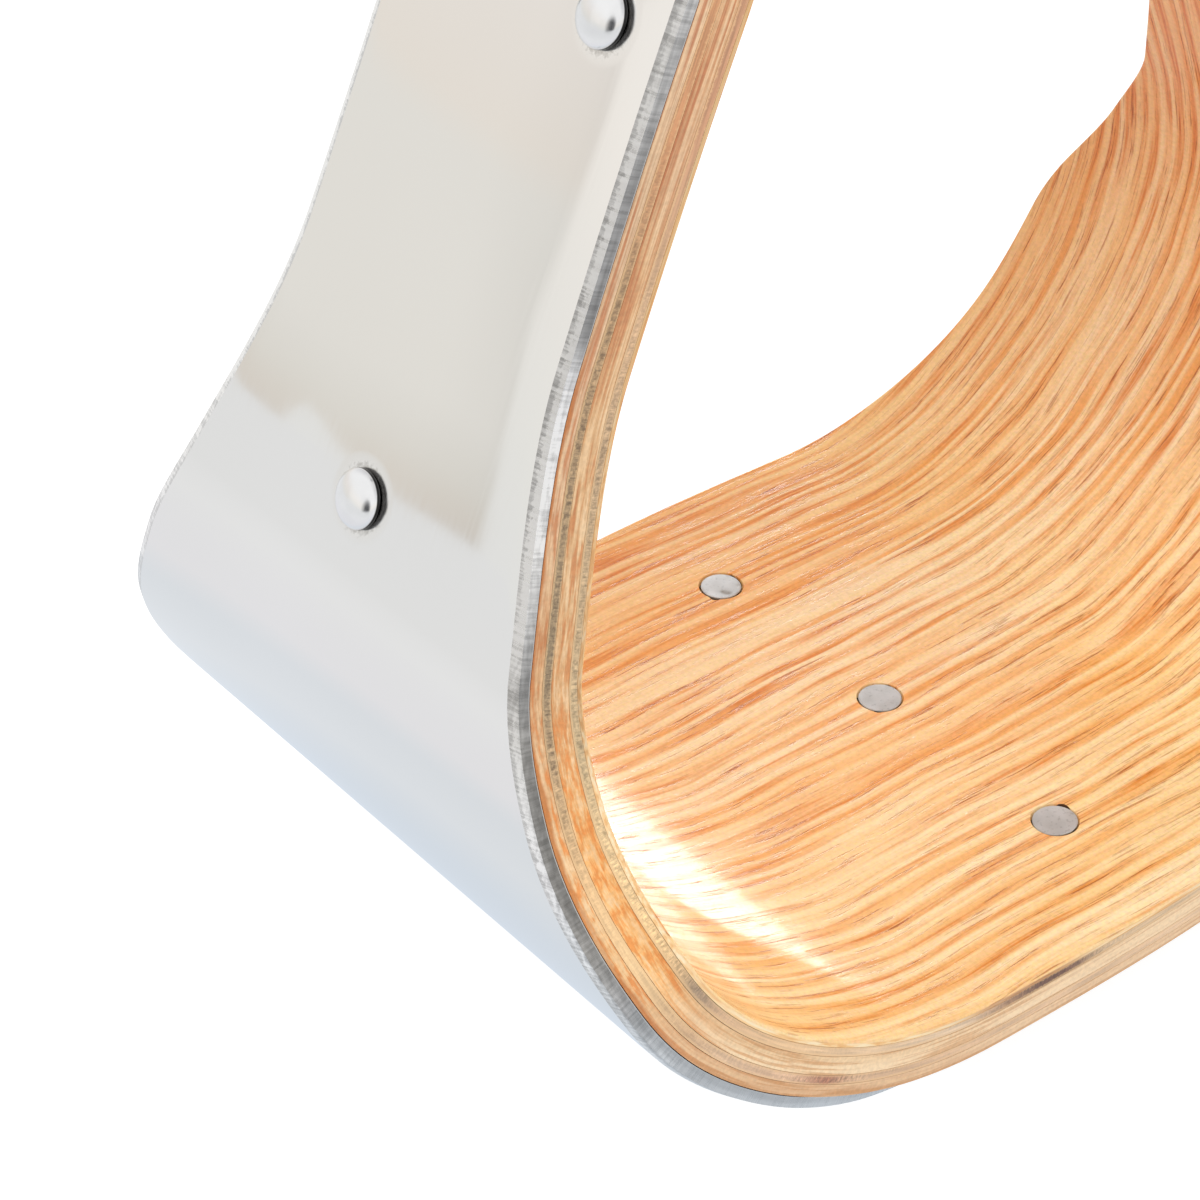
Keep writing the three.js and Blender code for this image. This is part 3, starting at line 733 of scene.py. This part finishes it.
def face_veneer():
    material, tree = material_tree("face_veneer")
    flat, (along, across, depth) = flat_place(tree)

    def drawn_out(place, stretch, detail=2.0):
        return noise(tree, vector_of(tree, "MULTIPLY", place, stretch)[0], 1, detail)["Fac"]

    def times(first, second):
        return math_of(tree, "MULTIPLY", first, second)

    aside = math_of(tree, "ADD", times(drawn_out(flat, (7, 16, 0), 1.0), 0.012),
                    times(drawn_out(flat, (50, 90, 0), 1.5), 0.0016))
    aside = node(tree, "ShaderNodeCombineXYZ", {1: aside}).outputs[0]
    swayed = vector_of(tree, "ADD", flat, aside)[0]
    rings = times(node(tree, "ShaderNodeSeparateXYZ", {0: swayed}).outputs["Y"], 520)
    spread = times(drawn_out(swayed, (6, 200, 0)), 3)
    year = math_of(tree, "FRACT", math_of(tree, "ADD", rings, spread))
    early = ramp(tree, year, [(0.0, 0.0), (0.2, 0.9), (0.5, 0.85), (0.75, 0.15), (1.0, 0.0)])
    band = times(early, within(tree, drawn_out(swayed, (24, 260, 0)), 0.36, 0.6, 0.2, 1.0))
    band = times(band, within(tree, across, -0.03, -0.01, 0.7, 1.0))
    grain = grain_on(tree, swayed, (90, 2300, 2300), 0.37)
    fine = grain_on(tree, swayed, (150, 4300, 4300), 0.91)
    light = ramp(tree, grain["Broad"], [
        (0.36, srgb(252, 214, 166)), (0.5, srgb(254, 226, 186)), (0.62, srgb(255, 234, 204))])
    colour = mixed(tree, band, light, srgb(241, 166, 84))
    dark = times(within(tree, grain["Streaks"], 0.47, 0.67),
                 within(tree, band, 0.0, 0.6, 0.15, 1.0))
    colour = mixed(tree, dark, colour, srgb(224, 138, 62))
    dashes = times(within(tree, fine["Streaks"], 0.57, 0.66),
                   within(tree, band, 0.0, 0.5, 0.45, 0.9))
    colour = mixed(tree, dashes, colour, srgb(178, 98, 36))
    sanded = specks_on(tree, flat)
    mottled = ramp(tree, sanded["Color"], [(0.4, (1.0, 1.02, 0.94)), (0.6, (1.0, 0.98, 1.06))])
    # Painted light and shade: lighter and yellower to the front, browner to the back, and varying
    place = within(tree, across, -0.038, 0.038)
    # along the bow as the light falls on the tread
    painted_light_front_to_back = ramp(tree, place, [
        (0.0, (1.0, 0.99, 0.82)), (0.1, (1.0, 0.99, 0.83)), (0.24, (1.0, 0.94, 0.72)),
        (0.4, (1.0, 0.96, 0.81)), (0.6, (0.93, 0.85, 0.68)), (0.76, (0.88, 0.79, 0.62)),
        (0.93, (0.79, 0.63, 0.42))])
    painted_light_left_to_right = by_length(tree, along, [
        (0.2, (0.97, 0.95, 0.93)), (0.5, (1, 1, 1)), (0.53, (1.0, 1.02, 1.04)),
        (0.56, (1.06, 1.12, 1.12)), (0.6, (1.08, 1.12, 1.15)), (0.64, (1.0, 1.0, 1.02)),
        (0.68, (0.96, 0.9, 0.88)), (0.74, (0.93, 0.86, 0.82)), (0.85, (0.87, 0.77, 0.7))])
    for tone in (within(tree, sanded["Fac"], 0.3, 0.7, 0.92, 1.07), mottled, painted_light_front_to_back,
                 painted_light_left_to_right):
        colour = multiplied(tree, colour, tone)
    lines = ramp(tree, grain["Streaks"], [
        (0.38, srgb(238, 184, 118)), (0.5, srgb(253, 212, 152)), (0.62, srgb(255, 232, 188))])
    lines = multiplied(tree, lines, by_length(tree, along, [
        (0.2, (0.75, 0.68, 0.62)), (0.25, (0.8, 0.75, 0.75)), (0.272, (0.62, 0.57, 0.55)),
        (0.29, (1, 1.02, 1.1)), (0.43, (1, 1, 1)), (0.45, (0.66, 0.56, 0.56)),
        (0.465, (0.6, 0.5, 0.45)), (0.48, (1, 1, 1)), (0.7, (1, 1, 1)),
        (0.74, (0.72, 0.62, 0.54))]))
    on_face = within(tree, depth, (STACK - 0.31) * MM, (STACK - 0.14) * MM)
    colour = mixed(tree, on_face, lines, colour)
    hollow = math_of(tree, "MAXIMUM", dashes, times(dark, 0.5))
    height = math_of(tree, "SUBTRACT", times(grain["Streaks"], 0.8), hollow)
    varnish(tree, colour, within(tree, hollow, 0.0, 1.0, 0.09, 0.2), height, 0.026)
    return material


FIT_GAP, GLUE_LINE = 0.08, 0.04
ALONG_STEEL = [
    (0.0, 0.15), (0.205, 0.0), (0.217, 0.9), (0.3, 0.9), (0.315, 0.45), (0.325, 0.8),
    (0.34, 0.7), (0.36, 0.0), (0.64, 0.0), (0.7, 0.8), (0.79, 0.9), (0.83, 0.3), (1.0, 0.4)]
OUTER_OAK = at_lengths(
    (-180, (222, 176, 132)), (-148, (220, 176, 136)), (-136, (208, 168, 130)),
    (-112, (224, 184, 146)), (-95, (222, 176, 130)), (-85, (232, 182, 126)),
    (-76, (250, 206, 150)), (-66, (236, 192, 148)), (-40, (238, 200, 162)),
    (10, (238, 200, 156)), (90, (226, 182, 134)), (140, (222, 176, 134)))
OUTER_CROSS = at_lengths(
    (-185, (210, 150, 104)), (-140, (208, 150, 106)), (-128, (174, 142, 106)),
    (-100, (148, 128, 100)), (-92, (176, 148, 114)), (-82, (232, 192, 142)),
    (-74, (250, 212, 160)), (-64, (210, 172, 132)), (-57, (232, 196, 160)),
    (-47, (228, 188, 154)), (-43, (170, 112, 88)), (-39, (222, 184, 148)), (12, (236, 202, 164)),
    (70, (222, 182, 134)), (90, (162, 142, 110)), (128, (176, 148, 110)), (150, (208, 150, 104)))
CORE_OAK = at_lengths(
    (-185, (214, 158, 112)), (-148, (220, 170, 124)), (-137, (206, 154, 112)),
    (-130, (224, 180, 132)), (-104, (220, 176, 126)), (-94, (222, 168, 112)),
    (-84, (250, 190, 118)), (-73, (252, 194, 124)), (-64, (234, 188, 138)),
    (-55, (244, 212, 168)), (-20, (248, 216, 174)), (20, (242, 208, 162)), (80, (246, 192, 124)),
    (140, (218, 168, 120)))
CORE_STREAKS = at_lengths(
    (-185, (196, 116, 72)), (-140, (190, 112, 68)), (-100, (206, 132, 76)),
    (-88, (236, 140, 56)), (-70, (238, 146, 62)), (-60, (214, 156, 100)), (0, (220, 174, 124)),
    (80, (236, 142, 58)), (140, (194, 114, 70)))
INNER_CROSS = at_lengths(
    (-185, (212, 162, 122)), (-142, (206, 152, 116)), (-128, (216, 178, 140)),
    (-116, (190, 160, 126)), (-92, (194, 170, 132)), (-82, (236, 202, 152)),
    (-76, (244, 206, 152)), (-70, (204, 170, 128)), (-67, (160, 136, 112)),
    (-62, (214, 176, 138)), (-50, (234, 196, 152)), (-26, (232, 204, 172)),
    (-20, (176, 138, 108)), (-16, (112, 78, 62)), (-12, (120, 84, 66)), (-8, (214, 184, 148)),
    (5, (228, 196, 156)), (70, (232, 196, 144)), (90, (188, 164, 126)), (150, (208, 156, 118)))
CLEAR = [
    (0.16, 0.0), (0.185, 0.6), (0.21, 1.0), (0.28, 1.0), (0.305, 0.35), (0.33, 0.12),
    (0.35, 0.3), (0.38, 0.15), (0.393, 0.8), (0.403, 0.8), (0.413, 0.12), (0.6, 0.12),
    (0.7, 0.6), (0.75, 1.0), (0.82, 0.7), (0.86, 0.0)]
CLEAR_INSIDE = [
    (0.18, 0.0), (0.22, 0.8), (0.33, 0.75), (0.345, 0.5), (0.36, 0.1), (0.44, 0.1),
    (0.455, 0.75), (0.475, 0.75), (0.49, 0.1), (0.62, 0.1), (0.7, 0.7), (0.8, 0.8), (0.84, 0.0)]
NOWHERE = [(0.0, 0.0), (1.0, 0.0)]
PLIES = {
    "outer_oak_ply": (1.2, "oak_long_grain", lambda *_: long_ply(
        "outer_oak", OUTER_OAK, CORE_STREAKS, ALONG_STEEL, 0.11)),
    "outer_cross_ply": (0.9, "oak_cross_grain", lambda *place: cross_ply(
        "outer_cross_oak", OUTER_CROSS, CLEAR, 0.23, *place)),
    "core_ply": (1.8, "oak_long_grain", lambda *_: long_ply(
        "core_oak", CORE_OAK, CORE_STREAKS, NOWHERE, 0.37)),
    "inner_cross_ply": (0.85, "oak_cross_grain", lambda *place: cross_ply(
        "inner_cross_oak", INNER_CROSS, CLEAR_INSIDE, 0.41, *place)),
    "oak_face_veneer": (0.6, "oak_face", lambda *_: face_veneer()),
}
depth = STEEL + FIT_GAP
EASED_EDGE = 0.28
plies = {}
for name, (thickness, slot, finish) in PLIES.items():
    ply = strip_blank(f"{name}_wood", half_width, depth, depth + thickness)
    if name == "oak_face_veneer":
        top = (depth + thickness) * MM
        select_where(ply, "edges", lambda edge: all(
            abs(end.co.z - top) < NEAR for end in edge.verts))
        bpy.ops.mesh.bevel(offset=EASED_EDGE * MM, segments=4, affect="EDGES")
    lay_cross_faces(ply, 8)
    cut(ply, holes)
    ply.data.materials.append(finish(depth, thickness))
    plies[name] = (ply, slot)
    depth += thickness + GLUE_LINE


# Where a rivet came through, the face veneer has splintered a little along its grain, and
# the gaps beside the tails are painted dark, partly as dirt and partly as painted shade.
def dark_gap():
    material, tree = material_tree("dark_gap")
    place = node(tree, "ShaderNodeTexCoord").outputs["Object"]
    dirt_and_painted_shade = noise(tree, place, 1500, 3)["Fac"]
    # The gap walls' dark colour is partly dirt and partly painted shade in the recess
    colour = ramp(tree, dirt_and_painted_shade, [(0.35, (0.05, 0.028, 0.014)), (0.65, (0.22, 0.12, 0.06))])
    varnish(tree, colour, 0.7, dirt_and_painted_shade, 0.05)
    return material


TAIL_GAP = 2.175
TEARS = ((0.5, 0.44, 0.30), (math.pi + 0.75, 0.52, 0.30), (math.pi - 0.7, 0.2, 0.25))


def splintered_hole(x, y, turn):
    steps, depth, height = 56, 0.42, 1.4
    outline = []
    for i in range(steps):
        angle = math.tau * i / steps
        radius = TAIL_GAP + 0.03 * math.sin(3 * angle + turn)
        radius += 0.02 * math.sin(7 * angle + 2 * turn)
        for goal, reach, wide in TEARS:
            off = (angle - goal - 0.4 * math.sin(turn * 3) + math.pi) % math.tau - math.pi
            torn = reach * (0.6 + 0.4 * math.sin(turn * 5 + goal))
            radius += torn * math.exp(-(off / wide) ** 2)
        outline.append((
            x + radius * math.cos(angle), y + 0.9 * radius * math.sin(angle), STACK - depth))
    hole = filled(line_through("splintered_hole", outline, closed=True))
    pulled_up(height)
    bpy.ops.object.mode_set(mode="OBJECT")
    return hole


gap_finish = dark_gap()
torn = joined([splintered_hole(*place, turn) for turn, place in enumerate(RIVETS.values())])
for _ in range(2):
    torn.data.materials.append(gap_finish)
for face in torn.data.polygons:
    face.material_index = 1
veneer = plies["oak_face_veneer"][0]
veneer.data.materials.append(gap_finish)
cut(veneer, torn)
bpy.data.objects.remove(torn)
for name, (ply, slot) in plies.items():
    bend_round_form(ply)
    smooth(ply, 35)
    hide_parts(name)
    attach(ply, "bow")


# Rivets: solid metal, set through the whole stack from the steel's side. The polished head
# stands on the steel, and the tail is hammered into a countersink, flush with the oak.
def rivet_head():
    material, tree = material_tree("rivet_head")
    flat, (_, _, height) = flat_place(tree)
    marks = marks_on(tree, flat, (2200, 2200, 2200), 500, 0.03, 0.0008)
    bright = ramp(tree, marks["Waves"], [(0.3, (0.86, 0.86, 0.865)), (0.7, (0.93, 0.93, 0.93))])
    # Painted shade: a dark band round the foot of the head, where it meets the steel
    painted_shade_rim = ramp(tree, within(tree, height, -0.50 * MM, -0.10 * MM), [
        (0.0, 0.95), (0.12, 0.05), (0.5, 0.03), (1.0, 0.15)])
    roughness = ramp(tree, marks["Lines"], [(0.3, 0.12), (0.7, 0.22)])
    metal_finish(tree, multiplied(tree, bright, painted_shade_rim), roughness, marks["Normal"])
    return material


def rivet_tail():
    material, tree = material_tree("rivet_tail")
    marks = marks_on(tree, flat_place(tree)[0], (3000, 3000, 3000), 420, 0.10, 0.012)
    colour = ramp(tree, marks["Waves"], [
        (0.28, (0.26, 0.23, 0.20)), (0.36, (0.47, 0.47, 0.465)), (0.7, (0.60, 0.605, 0.61))])
    specks = ramp(tree, marks["Lines"], [(0.32, 0.7), (0.42, 1.0)])
    shader = node(tree, "ShaderNodeBsdfPrincipled", {
        "Base Color": multiplied(tree, colour, specks, 0.7), "Metallic": 0.45,
        "Roughness": 0.55, "Normal": marks["Normal"]})
    node(tree, "ShaderNodeOutputMaterial", {"Surface": shader.outputs[0]})
    return material


HEAD_SEAT, HEAD_RIM = 0.05, 0.35
SHANK, TAIL = 1.6, 2.1
FOOT = -HEAD_SEAT - HEAD_RIM
RISE = HEAD_HEIGHT + FOOT
DOME_STEP = 7.5
profile = []
for i in range(13):
    angle = math.radians(DOME_STEP * i)
    profile.append((2.48 * math.sin(angle), FOOT - RISE * math.cos(angle)))
profile += [
    (RIVET_HEAD, -0.3), (2.48, -0.16), (2.4, -0.07), (2.25, -0.02), (SHANK, -0.02),
    (SHANK, STACK - TAIL_DEPTH), (TAIL, STACK - 0.16), (2.13, STACK - 0.09),
    (2.05, STACK - 0.02), (1.7, STACK), (0.9, STACK), (0, STACK)]
shape = turned("rivet_shape", profile, 48)
for finish in (rivet_head(), rivet_tail()):
    shape.data.materials.append(finish)
for face in shape.data.polygons:
    face.material_index = 0 if face.center.z < 2 * MM else 1
for turn, (name, place) in enumerate(RIVETS.items()):
    rivet = copy_at(shape, f"{name}_metal", 0, 0)
    bpy.ops.object.mode_set(mode="EDIT")
    select_where(rivet, "verts", lambda point: point.co.z > (STACK - 0.3) * MM)
    hammered = (1.03 - 0.03 * (turn % 3), 0.97 + 0.02 * (turn % 2), 1)
    bpy.ops.transform.resize(value=hammered, center_override=(0, 0, 0))
    bpy.ops.object.mode_set(mode="OBJECT")
    rivet.location = (place[0] * MM, place[1] * MM, 0)
    bpy.ops.object.transform_apply(location=True)
    bend_round_form(rivet)
    smooth(rivet, 35)
    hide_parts(name)
    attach(rivet, "bow")
for pattern in (shape, holes, bend_line):
    bpy.data.objects.remove(pattern)


# Stirrup bolt: plated steel, with a hexagon head on the left leg and a cut thread on the
# right. It holds the necks apart on the roller and goes through both. The pieces on it are
# made upright and laid along X at the height of the holes.
NECK_OUTSIDE, BOLT_HEIGHT, _ = form_place(BOLT_PLACE)
NECK_INSIDE = NECK_OUTSIDE - STACK
SEAT = 0.1
WASHER = 1.6
HEAD_FACE = NECK_OUTSIDE + SEAT + WASHER + SEAT
NUT, HEAD, THREAD_SHOWING = 8.2, 6, 3
TIP = HEAD_FACE + NUT + THREAD_SHOWING
BOLT, ROOT, CREST, PITCH = 4.75, 4.1, 4.72, 1.5875
THREAD_START = 27.5
FLATS, FLATS_CHAMFER = 7.15, 0.9


def plated_steel():
    material, tree = material_tree("plated_steel")
    place = node(tree, "ShaderNodeTexCoord").outputs["Object"]
    marks = marks_on(tree, place, (1800, 1800, 1800), 160, 0.02, 0.004)
    colour = ramp(tree, marks["Waves"], [(0.3, (0.52, 0.53, 0.55)), (0.7, (0.66, 0.67, 0.68))])
    dull = ramp(tree, marks["Lines"], [(0.36, 0.75), (0.5, 1.0)])
    metal_finish(tree, multiplied(tree, colour, dull, 0.5),
                 ramp(tree, marks["Waves"], [(0.3, 0.42), (0.7, 0.24)]), marks["Normal"])
    return material


def lay_on_bolt(piece, at, slot, body, *nodes):
    only(piece)
    piece.rotation_euler.y = math.radians(90)
    piece.location = (at * MM, 0, BOLT_HEIGHT * MM)
    bpy.ops.object.transform_apply(location=True, rotation=True)
    smooth(piece, 35)
    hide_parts(*nodes)
    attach(piece, body)


def hexagon(name, height, both_faces):
    radius = FLATS / math.cos(math.radians(30))
    bpy.ops.object.select_all(action="DESELECT")
    bpy.ops.mesh.primitive_cylinder_add(
        vertices=6, radius=radius * MM, depth=height * MM, location=(0, 0, height / 2 * MM))
    block = bpy.context.object
    block.name = name
    bpy.ops.object.transform_apply(location=True)
    wide = radius + 1
    drop = FLATS_CHAMFER / (radius - FLATS) * (wide - FLATS)
    foot = [(0, 0), (FLATS, 0), (wide, drop)] if both_faces else [(0, 0), (wide, 0)]
    cone = turned("cone", [*foot, (wide, height - drop), (FLATS, height), (0, height)], 96)
    cut(block, cone, "INTERSECT")
    bpy.data.objects.remove(cone)
    return block


def thread(start, end):
    half, buried, flat = PITCH / 2, ROOT - 0.3, 0.1
    profile = [
        (buried, 0, start - half), (ROOT, 0, start - half), (CREST, 0, start - flat),
        (CREST, 0, start + flat), (ROOT, 0, start + half), (buried, 0, start + half)]
    only(line_through("thread", profile))
    bpy.ops.object.convert(target="MESH")
    ridge = bpy.context.object
    modifier = ridge.modifiers.new("screw", "SCREW")
    modifier.steps = modifier.render_steps = 40
    modifier.iterations = int((end - start) / PITCH)
    modifier.screw_offset = PITCH * MM
    modifier.use_merge_vertices = True
    apply_all(ridge)
    return ridge


plating = plated_steel()
bolt = turned("bolt_shank", [
    (0, -HEAD_FACE), (BOLT, -HEAD_FACE), (BOLT, 26), (ROOT, 26.6), (ROOT, TIP - 0.45),
    (3.7, TIP), (0, TIP)], 64)
head = hexagon("bolt_head", HEAD, False)
only(head)
head.rotation_euler.x = math.pi
head.location.z = -HEAD_FACE * MM
bpy.ops.object.transform_apply(location=True, rotation=True)
bolt = joined([bolt, head, thread(THREAD_START, TIP - 1.2)])
bolt.name = "plated_bolt"
bolt.data.materials.append(plating)
lay_on_bolt(bolt, 0, "plated_steel", "bow", "stirrup_bolt")


# Nut and washers: the same plated steel. A flat washer lies under the bolt's head and one
# under the nut, and a thrust washer keeps each end of the roller off the oak.
NUT_BORE, RING_BORE, THRUST_WASHER = 4.85, 5.05, 1.2
nut = hexagon("plated_nut", NUT, True)
bore = turned("bore", [(0, -1), (NUT_BORE, -1), (NUT_BORE, NUT + 1), (0, NUT + 1)], 64)
cut(nut, bore)
bpy.data.objects.remove(bore)
nut.data.materials.append(plating)
lay_on_bolt(nut, HEAD_FACE, "plated_steel", "bow", "bolt_nut")


def ring(name, outer, length, rounded):
    eased = 0.3 * rounded
    profile = [
        (RING_BORE, 0), (outer - rounded, 0), (outer - eased, eased), (outer, rounded),
        (outer, length - rounded), (outer - eased, length - eased), (outer - rounded, length),
        (RING_BORE, length), (RING_BORE, 0)]
    return turned(name, profile, 96)


for side, sign in (("left", -1), ("right", 1)):
    for kind, outer, thickness, inner_face in (
        ("bolt", 10.25, WASHER, NECK_OUTSIDE + SEAT),
        ("thrust", 8.5, THRUST_WASHER, NECK_INSIDE - SEAT - THRUST_WASHER)):
        washer = ring(f"{kind}_ring_{side}", outer, thickness, 0.25)
        washer.data.materials.append(plating)
        at = inner_face if sign > 0 else -inner_face - thickness
        lay_on_bolt(washer, at, "plated_steel", "bow", f"{kind}_washer_{side}")


# Roller: a plain steel tube that turns on the bolt under the stirrup leather. The leather has
# worn it bright round the middle, and its ends are darker.
def roller_steel():
    material, tree = material_tree("roller_steel")
    place = node(tree, "ShaderNodeTexCoord").outputs["Object"]
    along = node(tree, "ShaderNodeSeparateXYZ", {0: place}).outputs["X"]
    marks = marks_on(tree, place, (2600, 300, 300), 120, 0.05, 0.006)
    worn = ramp(tree, within(tree, along, -0.028, 0.028), [
        (0.02, 0.0), (0.14, 1.0), (0.86, 1.0), (0.98, 0.0)])
    tone = ramp(tree, marks["Waves"], [(0.3, (0.32, 0.31, 0.30)), (0.7, (0.42, 0.41, 0.40))])
    bright = ramp(tree, marks["Lines"], [(0.3, (0.58, 0.57, 0.55)), (0.7, (0.72, 0.71, 0.69))])
    metal_finish(tree, mixed(tree, worn, tone, bright),
                 ramp(tree, marks["Lines"], [(0.3, 0.42), (0.7, 0.28)]), marks["Normal"])
    return material


ROLLER, SIDE_GAP = 9.5, 0.3
ROLLER_HALF = NECK_INSIDE - SEAT - THRUST_WASHER - SIDE_GAP
roller = ring("roller_tube", ROLLER, 2 * ROLLER_HALF, 0.8)
roller.data.materials.append(roller_steel())
lay_on_bolt(roller, -ROLLER_HALF, "roller_steel", "roller", "leather_roller")
